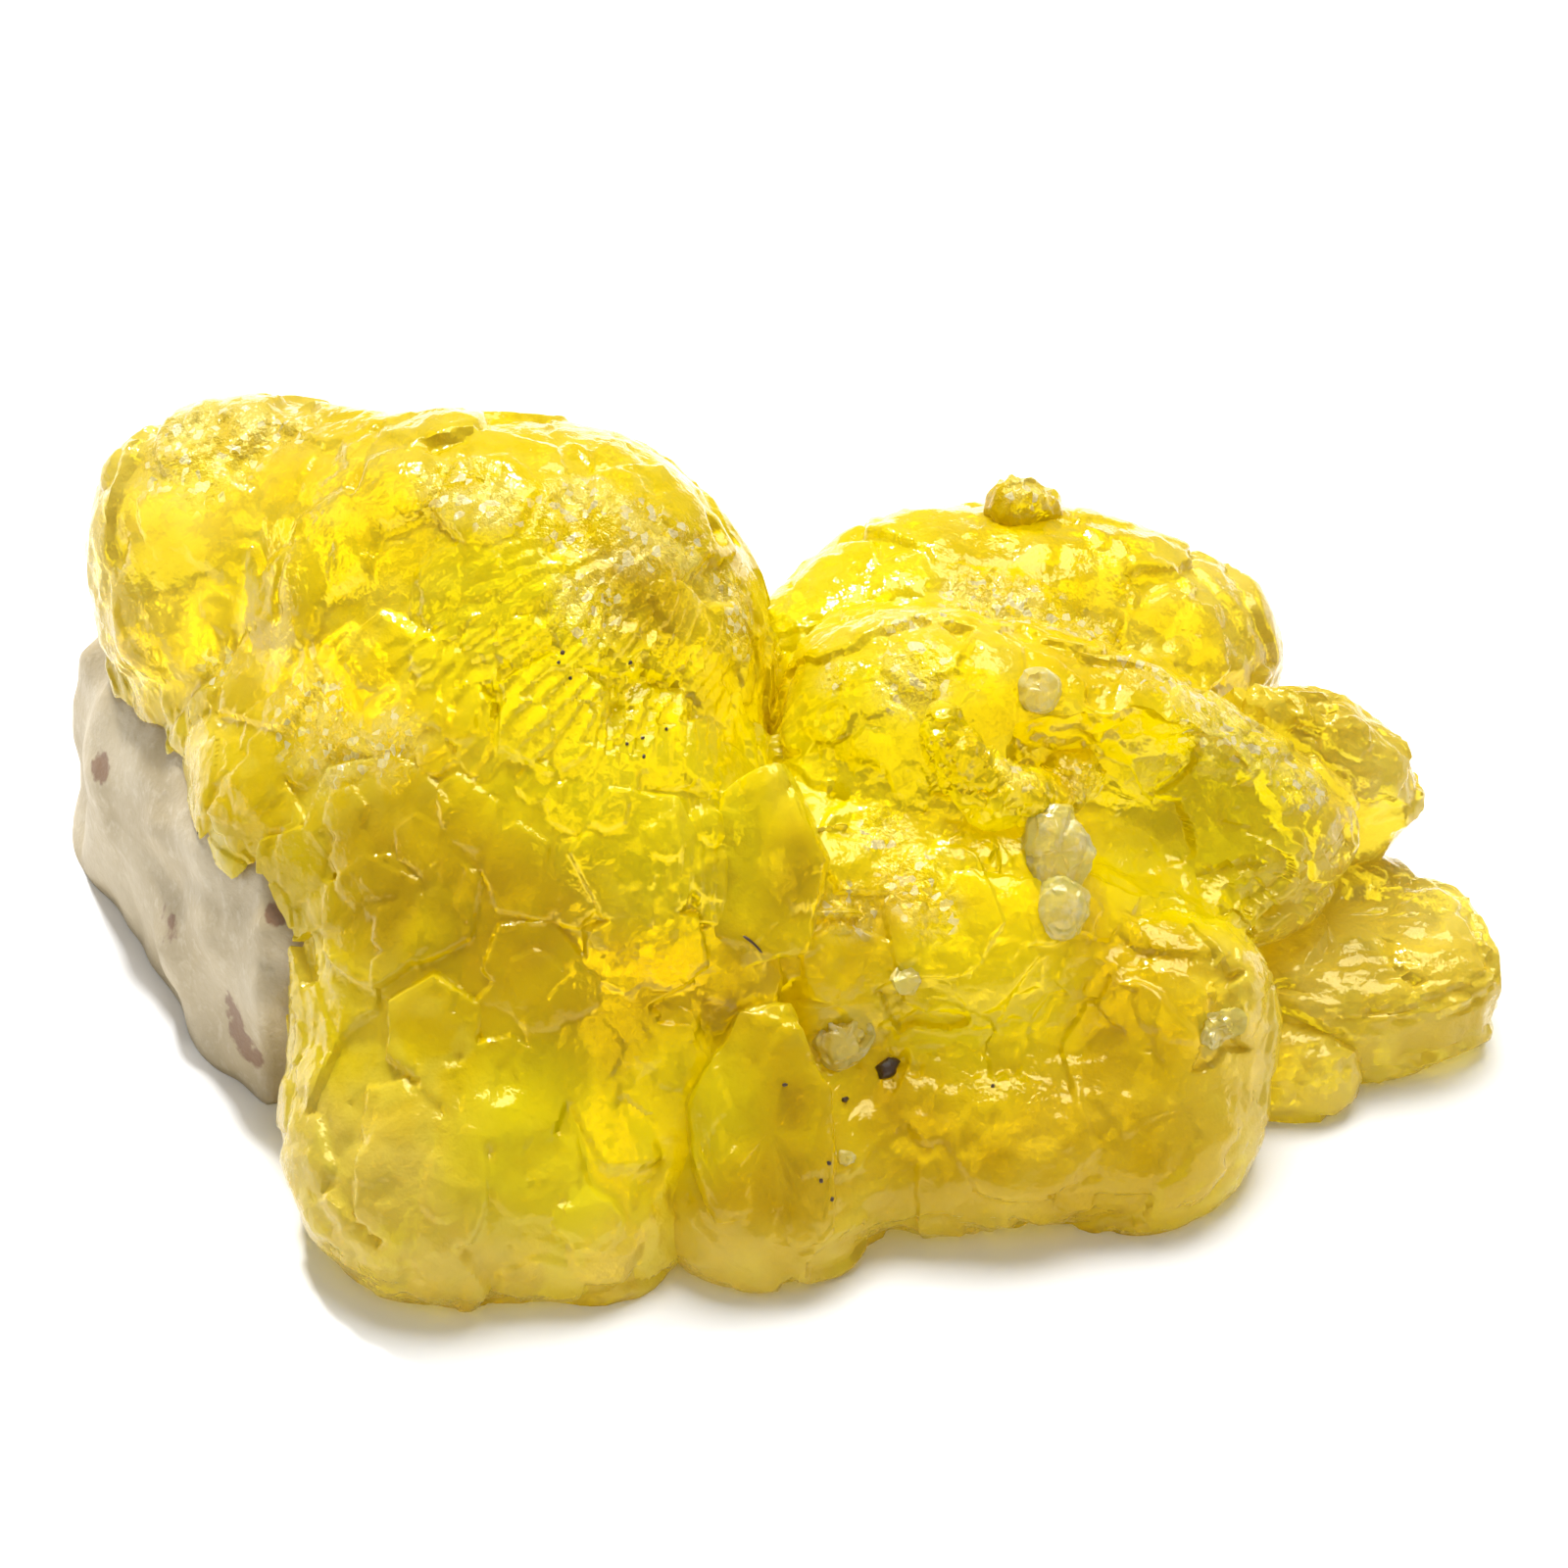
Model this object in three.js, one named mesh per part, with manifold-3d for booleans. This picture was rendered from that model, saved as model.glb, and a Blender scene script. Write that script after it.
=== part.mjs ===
// A hand specimen of yellow brucite: fans of crystal plates grown together around one hub, on a
// wedge of pale host rock. Millimetres, +Z up, the front towards -Y. The origin is on the trimmed
// underside, at the middle of the specimen's box.
import * as THREE from "three";
import { mergeVertices } from "three/addons/utils/BufferGeometryUtils.js";
import Module from "manifold-3d";

const wasm = await Module();
wasm.setup();

// Driving dimensions.
const LENGTH = 40; // left to right
const SEAM = 0.3; // between the rock and the crystals that grew on it
const UNDERSIDE = 0; // height of the trimmed base
const HEXAGON = 6; // corners of a brucite plate
const SKIN = 6; // how finely the faces of a mass are divided
const ROUGH = 0.25; // how far the corners of its faces stray
const STEPS = [0.2, 0.4, 0.6]; // how proud the small plates stand
const PLATE_DEPTH = 4; // how deep they are rooted, twice over

const radians = THREE.MathUtils.degToRad;

// A repeatable number from 0 to 1 for each whole number i.
function chance(i) {
  const s = Math.sin(i * 12.9898 + 4.1) * 43758.5453;
  return s - Math.floor(s);
}

// How far out a regular polygon's side lies at an angle, as a share of its corner's distance.
function polygonReach(angle, corners) {
  const side = (2 * Math.PI) / corners;
  const within = angle - Math.floor(angle / side) * side;
  return Math.cos(side / 2) / Math.cos(within - side / 2);
}

// The solid of a closed geometry.
function solidOf(geometry) {
  const bare = geometry.clone();
  bare.deleteAttribute("normal");
  bare.deleteAttribute("uv");
  const merged = mergeVertices(bare, 1e-4);
  return new wasm.Manifold(
    new wasm.Mesh({
      numProp: 3,
      vertProperties: merged.attributes.position.array,
      triVerts: new Uint32Array(merged.index.array),
    }),
  );
}

// Several solids as one.
function together(solids) {
  return solids.reduce((all, next) => all.add(next));
}

// The largest closed skin of a solid: small pockets left between crystals are filled.
function withoutPockets(solid) {
  const skins = solid.decompose();
  return skins.reduce((largest, skin) => (skin.volume() > largest.volume() ? skin : largest));
}

// A crystal form: a ball whose plan is drawn towards a polygon and whose profile is drawn from
// round (edge 1) to a flat plate with a tight rim (edge near 0.3). size is its full length, width
// and thickness. bend and cup lower its ends and its sides, in millimetres. swell makes the
// outline uneven.
function form({ at, turn = [0, 0, 0], size, edge = 1, corners = HEXAGON, flat = 0.5, phase = 0,
  bend = 0, cup = 0, swell = 0.05, grow = 0, around = 18, rings = 8 }) {
  const ball = new THREE.SphereGeometry(1, around, rings).rotateX(Math.PI / 2);
  const half = size.map((s) => s / 2 + grow);
  const p = new THREE.Vector3();
  const position = ball.attributes.position;
  for (let i = 0; i < position.count; i++) {
    p.fromBufferAttribute(position, i);
    const angle = Math.atan2(p.y, p.x);
    const out = Math.hypot(p.x, p.y);
    const reach =
      Math.pow(out, edge) *
      THREE.MathUtils.lerp(1, polygonReach(angle - phase, corners), flat) *
      (1 + swell * (Math.sin(2 * angle + 7 * phase) + 0.7 * Math.sin(3 * angle + size[0])));
    const u = reach * Math.cos(angle);
    const v = reach * Math.sin(angle);
    const w = Math.sign(p.z) * Math.pow(Math.abs(p.z), edge);
    position.setXYZ(i, half[0] * u, half[1] * v, half[2] * w - bend * u * u - cup * v * v);
  }
  const euler = new THREE.Euler(...turn.map(radians), "ZYX");
  const place = new THREE.Matrix4().makeRotationFromEuler(euler).setPosition(...at);
  return solidOf(ball.applyMatrix4(place));
}

// A mass of crystals grown into each other. It holds lobes, each with a centre and three radii,
// and rounds the valleys between them by web millimetres. Seen from its core, every lobe is in
// the open.
class Mass {
  constructor({ core, web, lobes }) {
    this.core = new THREE.Vector3(...core);
    this.web = web;
    this.lobes = lobes.map(([x, y, z, a, b, c]) => ({
      centre: new THREE.Vector3(x, y, z),
      radii: new THREE.Vector3(a, b, c),
      least: Math.min(a, b, c),
    }));
  }

  // Below zero inside the mass, above zero outside it, and near to millimetres close by.
  depth(point) {
    const p = new THREE.Vector3();
    let sum = 0;
    for (const { centre, radii, least } of this.lobes) {
      const away = (p.copy(point).sub(centre).divide(radii).length() - 1) * least;
      sum += Math.exp(-away / this.web);
    }
    return -this.web * Math.log(sum);
  }

  // The outermost point of the mass in a direction from its core, proud millimetres outside it.
  surface(direction, proud = 0) {
    const at = (r) => new THREE.Vector3().copy(this.core).addScaledVector(direction, r);
    const least = 0.002;
    let r = LENGTH;
    let gap = this.depth(at(r)) - proud;
    while (gap > least) {
      r -= 0.6 * gap;
      gap = this.depth(at(r)) - proud;
    }
    return at(r);
  }

  // The way the surface faces at a point.
  facing(point) {
    const e = 0.05;
    const slope = [[e, 0, 0], [0, e, 0], [0, 0, e]].map((shift) => {
      const s = new THREE.Vector3(...shift);
      return this.depth(s.clone().add(point)) - this.depth(point.clone().sub(s));
    });
    return new THREE.Vector3(...slope).normalize();
  }

  // The mass as a solid with a broken, many-faced skin.
  solid(proud = 0) {
    const ball = new THREE.IcosahedronGeometry(1, SKIN).deleteAttribute("normal").deleteAttribute("uv");
    const skin = mergeVertices(ball, 1e-4);
    const position = skin.attributes.position;
    for (let i = 0; i < position.count; i++) {
      const direction = new THREE.Vector3().fromBufferAttribute(position, i).normalize();
      const p = this.surface(direction, proud + ROUGH * (chance(i) - 0.5));
      position.setXYZ(i, p.x, p.y, p.z);
    }
    return solidOf(skin);
  }

  // Hexagonal plates in rows over part of the surface: between two headings and two heights, in
  // degrees as seen from the core. They follow the surface and stand proud of it by one of three
  // steps.
  plates({ headings, heights, rows, inRow, size, seed }) {
    const steps = STEPS.map(() => []);
    for (let row = 0; row < rows; row++) {
      for (let i = 0; i < inRow; i++) {
        const n = seed + row * inRow + i;
        const across = (i + 0.5 * (row % 2) + 0.5 * chance(n)) / inRow;
        const up = (row + 0.5 * chance(n + 0.3)) / rows;
        const heading = radians(THREE.MathUtils.lerp(...headings, across));
        const height = radians(THREE.MathUtils.lerp(...heights, up));
        const direction = new THREE.Vector3(
          Math.cos(height) * Math.cos(heading),
          Math.cos(height) * Math.sin(heading),
          Math.sin(height),
        );
        const p = this.surface(direction);
        const radius = (size / 2) * (0.7 + 0.6 * chance(n + 0.5));
        const prism = new THREE.CylinderGeometry(radius, radius, PLATE_DEPTH, HEXAGON);
        prism.rotateY(Math.PI * chance(n + 0.6));
        prism.applyQuaternion(
          new THREE.Quaternion().setFromUnitVectors(new THREE.Vector3(0, 1, 0), this.facing(p)),
        );
        steps[n % STEPS.length].push(solidOf(prism.translate(p.x, p.y, p.z)));
      }
    }
    return together(
      STEPS.map((proud, k) => this.solid(proud).intersect(together(steps[k]))),
    );
  }
}

// The left half: the tallest dome, its shoulder, the pale wall of lobes behind it, the buttress
// under it and the apron that slopes to the surface it rests on.
const leftMass = new Mass({
  core: [-8.6, 1.5, 5],
  web: 0.7,
  lobes: [
    [-6.5, 5.1, 10.2, 6.4, 6.5, 7.8],
    [-10.5, 6.8, 12.5, 4.3, 4.3, 4.5],
    [-16.7, 10.4, 11.2, 3.4, 3, 3.8],
    [-13.8, 10.4, 12, 2.6, 2.7, 2.8],
    [-15.7, 8.4, 8, 3.9, 3.8, 4.4],
    [-12.4, 3, 7, 4.6, 4.8, 4.6],
    [-7.4, 0.6, 8.4, 5.4, 4.8, 5.4],
    [-8.6, -2.4, 5.2, 5, 4.4, 4.6],
    [-4.2, -1.4, 7.4, 4.2, 3.6, 4.8],
    [-9.7, -5.9, 2, 4.7, 5.6, 4.1],
    [-5.4, -7.4, 1, 2.6, 3.2, 2.8],
    [-2.6, -4.4, 3.4, 3.2, 3, 3.8],
    [-4.6, 7.6, 3.6, 6.2, 4.6, 5.4],
  ],
});

// The right half: the curved shell that falls to the right, the dome behind it, the middle mass
// and the base in front.
const rightMass = new Mass({
  core: [6, 1.5, 4.5],
  web: 0.4,
  lobes: [
    [3.9, 3, 9.8, 4.5, 3.2, 3.6],
    [8.3, 3, 8.5, 4.7, 3.3, 3.6],
    [12.2, 2.9, 5.9, 4.2, 3.2, 3.4],
    [0.8, 6.8, 7.6, 2.8, 3, 3.5],
    [3.8, 9, 8.6, 3.7, 3.7, 3.4],
    [7.4, 9.6, 8, 4.3, 3.9, 3.7],
    [10.8, 9.3, 7, 3.5, 3.6, 3.6],
    [5.4, 9.4, 2.4, 7, 4.2, 5],
    [10.6, 5.6, 2.6, 3.6, 3.8, 4.2],
    [5, -0.8, 5.8, 5.1, 4.3, 3.9],
    [10.9, -2.7, 4.4, 2.9, 2.7, 2.8],
    [-0.6, -6.4, 1.4, 3.6, 4, 3.2],
    [5.2, -4.8, 1.8, 5.8, 3.6, 3],
    [10.4, -4.4, 1.6, 3.1, 3.1, 2.8],
    [0.4, -0.6, 5.8, 3.6, 4.6, 4.4],
  ],
});

// The crystals between the two halves, and the ones under them that the piece rests on.
function hub() {
  return together([
    form({ at: [-0.4, 1.4, 4], size: [11, 13, 9.4], edge: 0.7, around: 20, rings: 10 }),
    form({ at: [5.6, 2.2, 1.4], size: [17, 14, 4.6], edge: 0.6, around: 20, rings: 6 }),
    form({ at: [-6.8, -1.6, 1.4], size: [10, 12, 4.6], edge: 0.6, around: 20, rings: 6 }),
  ]);
}

// The hollow face in front of the shell's rim.
function scoop() {
  return form({ at: [10.9, 0, 9.6], turn: [50, 26, 0], size: [10.4, 5.8, 5.2], around: 20, rings: 12 });
}

// The fin, the slab and the small lobe at the far right.
function rightPlates() {
  return [
    form({ at: [14.8, 5.2, 6.3], size: [7.2, 3.0, 5.0], turn: [0, 40, 0], edge: 0.6, phase: 0.5 }),
    form({ at: [15.4, 2.2, 1.6], size: [10.6, 7.4, 4.0], edge: 0.45, phase: 0.5 }),
    form({ at: [14.6, -1.2, 0.8], size: [4.0, 3.4, 3.2], edge: 0.8, around: 12, rings: 6 }),
  ];
}

// Overlapping plates that step down the front, from the hexagon at the hub to the tongue.
function frontPlates() {
  return [
    form({ at: [-0.6, -3, 8.9], turn: [50, 10, 0], size: [3.6, 6.4, 1.4], edge: 0.3, flat: 0.9, phase: 0.5 }),
    form({ at: [-3.8, -4.8, 6.7], turn: [46, -6, 0], size: [5.8, 5.6, 1.6], edge: 0.3, flat: 0.9 }),
    form({ at: [-0.7, -8, 4.1], turn: [54, 0, 0], size: [3.9, 6.8, 2], edge: 0.4, flat: 0.6, phase: 0.5 }),
  ];
}

// The ledge on the middle mass and the clear knob at its end, the knob on the back dome, and the
// knobs along the top of the left wall.
function knobs() {
  const round = (x, y, z, across) => ({ at: [x, y, z], size: [across, across, across] });
  const knob = (shape) => form({ around: 12, rings: 6, ...shape });
  return [
    knob({ at: [6.4, 0.9, 9.9], size: [4.8, 1.4, 1.6], turn: [0, 20, -8], edge: 0.7 }),
    knob({ at: [8.7, 0.2, 8.8], size: [1.6, 1.8, 2.6], edge: 0.8 }),
    knob({ at: [7.6, -1.2, 8.5], size: [2.3, 2, 2.6], edge: 0.8 }),
    knob({ at: [6.8, 9.9, 12.1], size: [2.2, 2.2, 2.6] }),
    knob(round(-18.8, 10.6, 12.8, 1.9)),
    knob(round(-16.4, 10.8, 13.9, 2.6)),
    knob(round(-13.8, 10.8, 13.3, 2.4)),
    knob(round(-19.3, 10.2, 10.6, 1.7)),
  ];
}

// The wedge of host rock under the left wall. grow makes the pocket that the crystals leave for it.
function rock(grow = 0) {
  return form({
    at: [-13.2, 6.6, 2.6],
    turn: [0, 0, 26],
    size: [13, 19.6, 11.6],
    edge: 0.55,
    corners: 4,
    flat: 0.7,
    phase: Math.PI / 4,
    swell: 0.05,
    grow,
    around: 24,
    rings: 10,
  });
}

// What lies above the trimmed underside.
function trimmed(solid) {
  const below = new THREE.BoxGeometry(3 * LENGTH, 3 * LENGTH, LENGTH);
  return solid.subtract(solidOf(below.translate(0, 0, UNDERSIDE - LENGTH / 2)));
}

function meshOf(name, solid, material) {
  const { numProp, vertProperties, triVerts } = solid.getMesh();
  const geometry = new THREE.BufferGeometry();
  geometry.setAttribute("position", new THREE.BufferAttribute(vertProperties, numProp));
  geometry.setIndex(new THREE.BufferAttribute(triVerts, 1));
  geometry.computeVertexNormals();
  const mesh = new THREE.Mesh(geometry, material);
  mesh.name = name;
  return mesh;
}

// All the crystals, joined. Small plates stand on the front of both halves and along the crests.
function crystals() {
  return together([
    hub(),
    leftMass.solid(),
    rightMass.solid().subtract(scoop()),
    leftMass.plates({ headings: [-150, 10], heights: [8, 62], rows: 5, inRow: 7, size: 3, seed: 1 }),
    leftMass.plates({ headings: [-70, 130], heights: [56, 80], rows: 2, inRow: 5, size: 3.8, seed: 51 }),
    rightMass.plates({ headings: [-165, -40], heights: [-5, 42], rows: 4, inRow: 5, size: 2.8, seed: 90 }),
    rightMass.plates({ headings: [10, 130], heights: [35, 60], rows: 1, inRow: 5, size: 3.4, seed: 130 }),
    ...rightPlates(),
    ...frontPlates(),
    ...knobs(),
  ]);
}

const crystalYellow = new THREE.MeshStandardMaterial({ color: 0xe3c814, roughness: 0.3, metalness: 0 });
const rockGrey = new THREE.MeshStandardMaterial({ color: 0xc3b494, roughness: 0.7, metalness: 0 });

const brucite = withoutPockets(trimmed(crystals().subtract(rock(SEAM))));
const specimen = new THREE.Group();
specimen.add(meshOf("brucite", brucite, crystalYellow));
specimen.add(meshOf("host_rock", trimmed(rock()), rockGrey));

// The middle of the specimen's box goes over the origin.
const middleOfBox = new THREE.Box3().setFromObject(specimen).getCenter(new THREE.Vector3());
specimen.position.set(-middleOfBox.x, -middleOfBox.y, 0);
export default specimen;
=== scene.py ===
"""A hand specimen of yellow brucite on pale host rock, dressed over its CAD frame.

Lengths in the sections are millimetres, measured from the hub where the crystal fans meet, and
are turned into the frame's metres when a mesh is made.
"""
import itertools
import math

import bpy
import numpy as np
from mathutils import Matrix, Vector
from mathutils.bvhtree import BVHTree


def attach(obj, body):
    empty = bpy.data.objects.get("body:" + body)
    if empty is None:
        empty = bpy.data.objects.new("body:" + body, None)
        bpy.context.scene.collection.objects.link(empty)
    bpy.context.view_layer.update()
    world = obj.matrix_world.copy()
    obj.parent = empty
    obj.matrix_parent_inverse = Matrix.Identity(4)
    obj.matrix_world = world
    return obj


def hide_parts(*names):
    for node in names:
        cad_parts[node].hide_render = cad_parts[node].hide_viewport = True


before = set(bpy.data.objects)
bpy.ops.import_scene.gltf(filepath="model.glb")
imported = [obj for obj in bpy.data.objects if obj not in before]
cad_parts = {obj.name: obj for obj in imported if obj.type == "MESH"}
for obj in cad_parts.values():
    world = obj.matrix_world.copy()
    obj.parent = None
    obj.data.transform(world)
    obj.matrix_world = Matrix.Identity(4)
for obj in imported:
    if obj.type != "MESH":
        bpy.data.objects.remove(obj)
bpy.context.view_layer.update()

# ---------------------------------------------------------------------------------------------
# The table top, the camera and the lamps. The specimen lies on a plain white sheet, under a
# broad soft lamp from behind and above, with one small hard lamp for the glints.
# ---------------------------------------------------------------------------------------------
MM = 0.001
HUB = np.array([0.063, -1.945, 0.0])  # where the hub's own origin lies in the frame, in millimetres

look_at = (HUB + [-0.08, 0.0, 10.28]) * MM
camera_distance = 0.3
camera_height = math.radians(40)
camera_data = bpy.data.cameras.new("camera")
camera_data.sensor_width = 36
camera_data.lens = 245.9
camera_data.clip_start = 0.01
camera_data.clip_end = 10
camera = bpy.data.objects.new("camera", camera_data)
back = Vector((0, -math.cos(camera_height), math.sin(camera_height)))
camera.location = Vector(look_at) + camera_distance * back
camera.rotation_euler = (-back).to_track_quat("-Z", "Y").to_euler()
bpy.context.scene.collection.objects.link(camera)
bpy.context.scene.camera = camera


class Socket:
    """A shader socket that can be reckoned with: maths on it adds Math nodes."""

    def __init__(self, tree, socket):
        self.tree = tree
        self.socket = socket

    def node(self, kind, links=(), output=0, **settings):
        """Adds a node of any kind, sets its settings, links or sets its inputs, and wraps an output."""
        made = self.tree.nodes.new(kind)
        for name, value in settings.items():
            setattr(made, name, value)
        for key, value in dict(links).items():
            if isinstance(value, Socket):
                self.tree.links.new(value.socket, made.inputs[key])
            else:
                made.inputs[key].default_value = value
        return Socket(self.tree, made.outputs[output])

    def maths(self, operation, *values):
        return self.node("ShaderNodeMath", dict(enumerate(values)), operation=operation)

    def __add__(self, other):
        return self.maths("ADD", self, other)

    __radd__ = __add__

    def __mul__(self, other):
        return self.maths("MULTIPLY", self, other)

    __rmul__ = __mul__

    def __sub__(self, other):
        return self.maths("SUBTRACT", self, other)

    def __rsub__(self, other):
        return self.maths("SUBTRACT", other, self)

    def over(self, start, end):
        """0 below start, 1 above end, and smooth between."""
        return self.node(
            "ShaderNodeMapRange",
            {"Value": self, "From Min": start, "From Max": end},
            interpolation_type="SMOOTHSTEP",
        )

    def mixed(self, low, high):
        """A colour from low where this is 0 to high where it is 1."""
        return self.node("ShaderNodeMix", {0: self, 6: low, 7: high}, 2, data_type="RGBA")


def new_material(name):
    """A material with an empty tree, its output node, and a Socket of the Object coordinates."""
    material = bpy.data.materials.new(name)
    material.use_nodes = True
    tree = material.node_tree
    tree.nodes.clear()
    output = tree.nodes.new("ShaderNodeOutputMaterial")
    place = tree.nodes.new("ShaderNodeTexCoord").outputs["Object"]
    return material, output, Socket(tree, place)


def rgb(red, green, blue):
    return (red, green, blue, 1.0)


half_table = 1.5
table_corners = [(x * half_table, y * half_table, 0) for x, y in [(-1, -1), (1, -1), (1, 1), (-1, 1)]]
table_mesh = bpy.data.meshes.new("floor")
table_mesh.from_pydata(table_corners, [], [(0, 1, 2, 3)])
floor = bpy.data.objects.new("floor", table_mesh)
bpy.context.scene.collection.objects.link(floor)
paper, paper_out, paper_place = new_material("paper_white")
paper_shader = paper_place.node("ShaderNodeBsdfDiffuse", {"Color": rgb(0.95, 0.95, 0.95)})
paper_place.tree.links.new(paper_shader.socket, paper_out.inputs["Surface"])
table_mesh.materials.append(paper)

room_strength = 0.44
world = bpy.data.worlds.new("soft_room")
world.use_nodes = True
world.node_tree.nodes["Background"].inputs["Color"].default_value = rgb(1, 1, 1)
world.node_tree.nodes["Background"].inputs["Strength"].default_value = room_strength
world.cycles.sampling_method = "NONE"
bpy.context.scene.world = world
bpy.context.scene.view_settings.view_transform = "Standard"


def lamp(name, place, size, power):
    """A square area lamp at a place in metres, turned to the specimen, with its power in watts."""
    data = bpy.data.lights.new(name, "AREA")
    data.size = size
    data.energy = power
    made = bpy.data.objects.new(name, data)
    made.location = place
    made.rotation_euler = (Vector(look_at) - Vector(place)).to_track_quat("-Z", "Y").to_euler()
    bpy.context.scene.collection.objects.link(made)


lamp("lamp_behind", (0.07, 0.18, 0.53), 0.34, 3.3)
lamp("lamp_glint", (-0.12, 0.28, 0.42), 0.05, 2.6)

# ---------------------------------------------------------------------------------------------
# The yellow crystals: brucite, grown out from one hub in fans of thick plates. A high dome at the
# left, a curved shell, a dome, a fin and a slab at the right and lower aprons in front are one
# grown-together solid, stepped all over by the hexagonal edges of the plates.
# ---------------------------------------------------------------------------------------------
FINE = 1.0  # rows of points, as a share of all of them
CHANCES = np.random.default_rng(7).random((2**16, 8)).astype(np.float32)
PRIMES = np.array([73856093, 19349663, 83492791])
SEED_STEP = 40503


def chances(cells, seed):
    """Which row of CHANCES belongs to each cell of space: its three whole numbers and the seed,
    each times a large number, are scrambled into one."""
    whole = cells.astype(np.int64) * PRIMES
    return (whole[:, 0] ^ whole[:, 1] ^ whole[:, 2] ^ (seed * SEED_STEP)) & (len(CHANCES) - 1)


def smooth(t):
    """An S curve from 0 to 1."""
    t = np.clip(t, 0, 1)
    return t * t * (3 - 2 * t)


def unit(v):
    """Each vector at a length of 1."""
    return v / np.maximum(np.sqrt((v * v).sum(-1, keepdims=True)), 1e-9)


def clouds(points, size, seed, octaves=3):
    """Soft noise about zero: chance values at the corners of cubes, blended smoothly, in octaves."""
    total = np.zeros(len(points), np.float32)
    for octave in range(octaves):
        scaled = points / size * 2**octave
        cell = np.floor(scaled)
        t = smooth(scaled - cell)
        for corner in itertools.product((0, 1), repeat=3):
            weight = np.prod(np.where(corner, t, 1 - t), axis=1)
            total += weight * (CHANCES[chances(cell + corner, seed + octave), 0] - 0.5) * 2 / 2**octave
    return total


def plates(points, normals, size, seed, lean=0.12):
    """Overlapping hexagonal plates, as heights from 0 to 1 at each point.

    Space is cut into cubes, and each holds one plate at a chance place in it, with a chance turn,
    width and height, and a slope. A point has the height of the highest plate that covers it.
    """
    cos_30 = 0.866
    cell = np.floor(points / size)
    top = np.zeros(len(points), np.float32)
    for step in itertools.product((-1, 0, 1), repeat=3):
        home = cell + step
        key = chances(home, seed)
        away = points - (home + 0.15 + 0.7 * CHANCES[key, :3]) * size
        high = (away * normals).sum(1)
        close = np.flatnonzero((np.abs(high) < 0.6 * size) & ((away * away).sum(1) < size * size))
        luck = CHANCES[key[close], 3:]
        away, facing = away[close], normals[close]
        along = unit(np.cross(facing, luck[:, :3] - 0.5))
        x = (away * along).sum(1)
        y = (away * np.cross(facing, along)).sum(1)
        out = np.maximum(np.abs(x), np.abs(x) / 2 + np.abs(y) * cos_30)
        rim = smooth((size * (0.4 + 0.35 * luck[:, 3]) - out) / (0.03 * size))
        level = 0.25 + 0.75 * luck[:, 4] + lean * (x + y) / size
        top[close] = np.maximum(top[close], rim * level)
    return top


def treads(distance, pitch, ramp=0.2):
    """Steps: how far the nearest tread lies above a slope that rises by distance.

    ramp is the share of a step that its riser takes.
    """
    part = np.mod(distance / pitch, 1)
    return pitch * (smooth((part - 1 + ramp) / ramp) - part + 0.4)


class Mass:
    """Lobes grown into each other. Each lobe is a centre and three radii.

    web is how far the valleys between them are rounded. The surface is the outermost point in
    each direction from the core.
    """

    def __init__(self, core, web, lobes):
        lobes = np.array(lobes, np.float32)
        self.core = np.array(core, np.float32)
        self.web = web
        self.centres = lobes[:, :3]
        self.radii = lobes[:, 3:]

    def depth(self, points):
        """How far outside: web times 0.3 less the log of the sum of the lobes' exponents."""
        total = np.zeros(len(points), np.float32)
        for centre, radii in zip(self.centres, self.radii):
            inward = (points - centre) / radii
            away = (np.sqrt((inward * inward).sum(1)) - 1) * radii.min()
            total += np.exp(np.clip(-away / self.web, -60, 60))
        return self.web * (0.3 - np.log(total))

    def ways(self, rows, columns):
        """Directions over the whole ball: by latitude about the X axis and by turn round it."""
        latitude = np.linspace(0, math.pi, rows)[:, None]
        turn = np.linspace(0, 2 * math.pi, columns, endpoint=False)[None]
        sideways = np.cos(latitude) + 0 * turn
        found = np.stack([sideways, np.sin(latitude) * np.cos(turn), np.sin(latitude) * np.sin(turn)], -1)
        return found.reshape(-1, 3).astype(np.float32)

    def settled(self, ways, reach, steps):
        """How far out the surface is along each way: steps from reach by most of what is left."""
        for _ in range(steps):
            reach = reach - 0.7 * self.depth(self.core + ways * reach[:, None])
        return reach

    def grid(self, rows, columns):
        """Points over the whole mass, found first on a grid of every fourth row and column."""
        beyond = 26.0
        few_rows, few_columns = rows // 4, columns // 4
        few = self.ways(few_rows, few_columns)
        reach = self.settled(few, np.full(len(few), beyond, np.float32), 40).reshape(few_rows, few_columns)
        down = np.linspace(0, few_rows - 1, rows)
        above = np.floor(down).astype(int)
        below = np.minimum(above + 1, few_rows - 1)
        part = (down - above)[:, None]
        reach = reach[above] * (1 - part) + reach[below] * part
        across = np.arange(columns) / 4
        left = np.floor(across).astype(int) % few_columns
        right = (left + 1) % few_columns
        part = (across - np.floor(across))[None]
        reach = (reach[:, left] * (1 - part) + reach[:, right] * part).ravel().astype(np.float32)
        ways = self.ways(rows, columns)
        return self.core + ways * self.settled(ways, reach, 4)[:, None]


def ball_faces(rows, columns):
    """Quads round a closed ball of rows from pole to pole. A pole's row is one point many times."""
    row = np.arange(rows - 1)[:, None] * columns
    here = np.arange(columns)[None]
    there = (here + 1) % columns
    quads = np.stack([row + here, row + columns + here, row + columns + there, row + there], -1)
    return quads.reshape(-1, 4)


def ball_normals(points, rows, columns):
    """The way a ball's surface faces: across the slopes along its rows and columns."""
    field = points.reshape(rows, columns, 3)
    down = np.gradient(field, axis=0)
    across = np.roll(field, -1, 1) - np.roll(field, 1, 1)
    facing = np.cross(down, across)
    facing[0], facing[-1] = facing[1].mean(0), facing[-2].mean(0)
    return unit(facing).reshape(-1, 3).astype(np.float32)


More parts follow.
